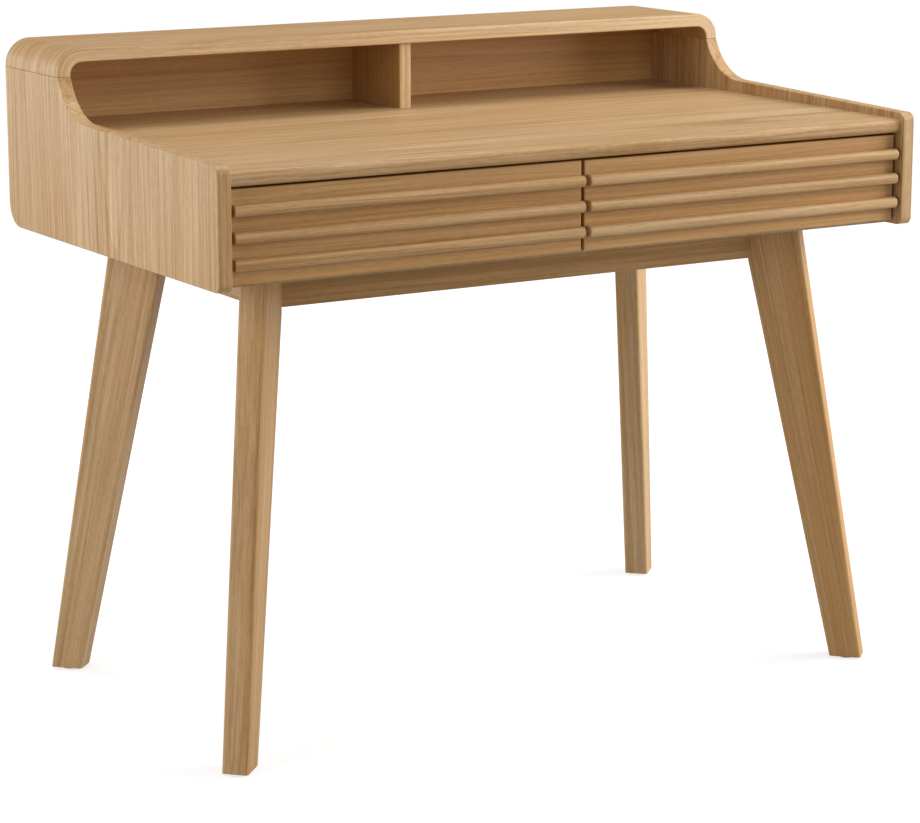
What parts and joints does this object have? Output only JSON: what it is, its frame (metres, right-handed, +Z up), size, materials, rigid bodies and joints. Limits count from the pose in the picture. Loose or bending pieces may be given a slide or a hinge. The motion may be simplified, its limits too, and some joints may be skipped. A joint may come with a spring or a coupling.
{
  "type": "writing desk",
  "caption": "Oak writing desk in a mid-century style: slatted drawers under the desktop, a bent hutch top over open cubbies at the back, swept side panels and splayed board legs.",
  "frame": {"origin": "on the floor under the middle of the desk", "axes": "+X to the right along the front, +Y to the back, +Z up"},
  "size_m": [1.016, 0.61, 0.843],
  "materials": {
    "oak": "satin oak veneer and solid oak",
    "inner_wood": "plain board and block wood",
    "drawer_box_wood": "pale drawer-side wood",
    "slide_steel": "zinc-plated sheet",
    "fastener_steel": "plated steel",
    "glide_nylon": "moulded nylon"
  },
  "bodies": {
    "desk": {"back_panel": "oak", "base_screws": "fastener_steel", "bottom_panel": "inner_wood", "desktop": "oak", "drawer_partition": "inner_wood", "foot_glides": "glide_nylon", "front_left_corner_block": "inner_wood", "front_left_leg": "oak", "front_rail": "oak", "front_right_corner_block": "inner_wood", "front_right_leg": "oak", "hutch_divider": "oak", "hutch_top": "oak", "left_drawer_inner_slide_case_channel": "slide_steel", "left_drawer_outer_slide_case_channel": "slide_steel", "left_rail": "oak", "left_side_panel": "oak", "leg_bolt_nuts": "fastener_steel", "leg_hanger_bolts": "fastener_steel", "rear_left_corner_block": "inner_wood", "rear_left_leg": "oak", "rear_rail": "oak", "rear_right_corner_block": "inner_wood", "rear_right_leg": "oak", "right_drawer_inner_slide_case_channel": "slide_steel", "right_drawer_outer_slide_case_channel": "slide_steel", "right_rail": "oak", "right_side_panel": "oak"},
    "left_drawer": {"left_drawer_back": "drawer_box_wood", "left_drawer_box_front": "drawer_box_wood", "left_drawer_floor": "drawer_box_wood", "left_drawer_front": "oak", "left_drawer_front_screws": "fastener_steel", "left_drawer_inner_slide_drawer_channel": "slide_steel", "left_drawer_left_wall": "drawer_box_wood", "left_drawer_lower_slat": "oak", "left_drawer_middle_slat": "oak", "left_drawer_outer_slide_drawer_channel": "slide_steel", "left_drawer_right_wall": "drawer_box_wood", "left_drawer_upper_slat": "oak"},
    "right_drawer": {"right_drawer_back": "drawer_box_wood", "right_drawer_box_front": "drawer_box_wood", "right_drawer_floor": "drawer_box_wood", "right_drawer_front": "oak", "right_drawer_front_screws": "fastener_steel", "right_drawer_inner_slide_drawer_channel": "slide_steel", "right_drawer_left_wall": "drawer_box_wood", "right_drawer_lower_slat": "oak", "right_drawer_middle_slat": "oak", "right_drawer_outer_slide_drawer_channel": "slide_steel", "right_drawer_right_wall": "drawer_box_wood", "right_drawer_upper_slat": "oak"},
    "left_slides": {"left_drawer_inner_slide_middle_channel": "slide_steel", "left_drawer_outer_slide_middle_channel": "slide_steel"},
    "right_slides": {"right_drawer_inner_slide_middle_channel": "slide_steel", "right_drawer_outer_slide_middle_channel": "slide_steel"}
  },
  "joints": [
    {"name": "left_drawer_slide", "type": "slide", "parent": "desk", "child": "left_drawer", "axis": [0, -1, 0], "range_m": [0, 0.44]},
    {"name": "left_middle_channels_slide", "type": "slide", "parent": "desk", "child": "left_slides", "axis": [0, -1, 0], "range_m": [0, 0.22]},
    {"name": "right_drawer_slide", "type": "slide", "parent": "desk", "child": "right_drawer", "axis": [0, -1, 0], "range_m": [0, 0.44]},
    {"name": "right_middle_channels_slide", "type": "slide", "parent": "desk", "child": "right_slides", "axis": [0, -1, 0], "range_m": [0, 0.22]}
  ],
  "couplings": [
    {"joint": "left_middle_channels_slide", "follows": "left_drawer_slide", "ratio": 0.5},
    {"joint": "right_middle_channels_slide", "follows": "right_drawer_slide", "ratio": 0.5}
  ]
}
